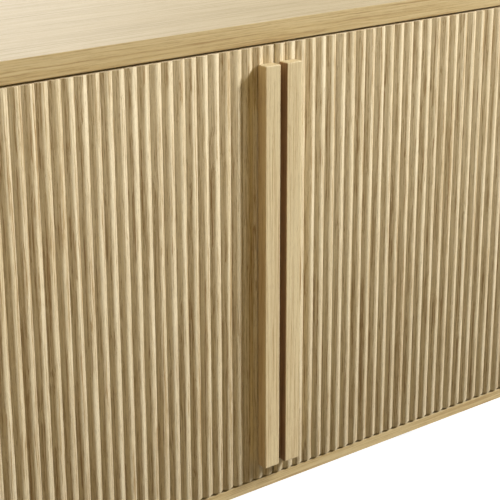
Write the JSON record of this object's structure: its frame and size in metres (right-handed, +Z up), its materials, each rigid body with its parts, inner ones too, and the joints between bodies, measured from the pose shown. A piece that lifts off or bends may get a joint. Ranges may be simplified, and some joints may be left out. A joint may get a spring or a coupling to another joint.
{
  "type": "media cabinet",
  "caption": "Low media cabinet on legs with inset reeded oak doors on corner pivots, full-height bar handles, adjustable shelves and cable cut-outs.",
  "frame": {"origin": "on the floor, under the middle of the overall box", "axes": "+X along the cabinet to the right seen from the front, +Y from the doors to the back, +Z up"},
  "size_m": [1.59, 0.4142, 0.609],
  "materials": {
    "oak_veneer": "satin lacquered pale oak veneer, grain along the panel",
    "reeded_oak": "satin pale oak, convex reeds, grain along the reeds",
    "handle_oak": "satin solid oak, arrises eased",
    "leg_oak": "satin solid oak",
    "back_board": "thin board with a printed oak face",
    "zinc_steel": "bright zinc plate",
    "white_nylon": "moulded",
    "catch_plastic": "moulded",
    "black_nylon": "moulded"
  },
  "bodies": {
    "carcass": {"top_panel": "oak_veneer", "bottom_panel": "oak_veneer", "left_side": "oak_veneer", "right_side": "oak_veneer", "centre_partition": "oak_veneer", "back_panel_left": "back_board", "back_panel_right": "back_board", "shelf_left": "oak_veneer", "shelf_right": "oak_veneer", "shelf_pin_left_1": "zinc_steel", "shelf_pin_left_2": "zinc_steel", "shelf_pin_left_3": "zinc_steel", "shelf_pin_left_4": "zinc_steel", "shelf_pin_right_1": "zinc_steel", "shelf_pin_right_2": "zinc_steel", "shelf_pin_right_3": "zinc_steel", "shelf_pin_right_4": "zinc_steel", "bush_outer_left_top": "white_nylon", "bush_outer_left_bottom": "white_nylon", "bush_inner_left_top": "white_nylon", "bush_inner_left_bottom": "white_nylon", "bush_inner_right_top": "white_nylon", "bush_inner_right_bottom": "white_nylon", "bush_outer_right_top": "white_nylon", "bush_outer_right_bottom": "white_nylon", "catch_left": "catch_plastic", "catch_right": "catch_plastic", "leg_front_left": "leg_oak", "glide_front_left": "black_nylon", "leg_front_right": "leg_oak", "glide_front_right": "black_nylon", "leg_back_left": "leg_oak", "glide_back_left": "black_nylon", "leg_back_right": "leg_oak", "glide_back_right": "black_nylon", "leg_centre": "leg_oak", "glide_centre": "black_nylon"},
    "outer_left_door": {"door_outer_left": "reeded_oak", "handle_outer_left": "handle_oak", "pivot_outer_left_top": "zinc_steel", "pivot_outer_left_bottom": "zinc_steel", "strike_outer_left": "zinc_steel"},
    "inner_left_door": {"door_inner_left": "reeded_oak", "handle_inner_left": "handle_oak", "pivot_inner_left_top": "zinc_steel", "pivot_inner_left_bottom": "zinc_steel", "strike_inner_left": "zinc_steel"},
    "inner_right_door": {"door_inner_right": "reeded_oak", "handle_inner_right": "handle_oak", "pivot_inner_right_top": "zinc_steel", "pivot_inner_right_bottom": "zinc_steel", "strike_inner_right": "zinc_steel"},
    "outer_right_door": {"door_outer_right": "reeded_oak", "handle_outer_right": "handle_oak", "pivot_outer_right_top": "zinc_steel", "pivot_outer_right_bottom": "zinc_steel", "strike_outer_right": "zinc_steel"}
  },
  "joints": [
    {"name": "outer_left_door_hinge", "type": "hinge", "parent": "carcass", "child": "outer_left_door", "pos_m": [-0.763, -0.18585, 0.149], "axis": [0, 0, -1], "range_deg": [0, 100]},
    {"name": "inner_left_door_hinge", "type": "hinge", "parent": "carcass", "child": "inner_left_door", "pos_m": [-0.021, -0.18585, 0.149], "axis": [0, 0, 1], "range_deg": [0, 86]},
    {"name": "inner_right_door_hinge", "type": "hinge", "parent": "carcass", "child": "inner_right_door", "pos_m": [0.021, -0.18585, 0.149], "axis": [0, 0, -1], "range_deg": [0, 86]},
    {"name": "outer_right_door_hinge", "type": "hinge", "parent": "carcass", "child": "outer_right_door", "pos_m": [0.763, -0.18585, 0.149], "axis": [0, 0, 1], "range_deg": [0, 100]}
  ]
}
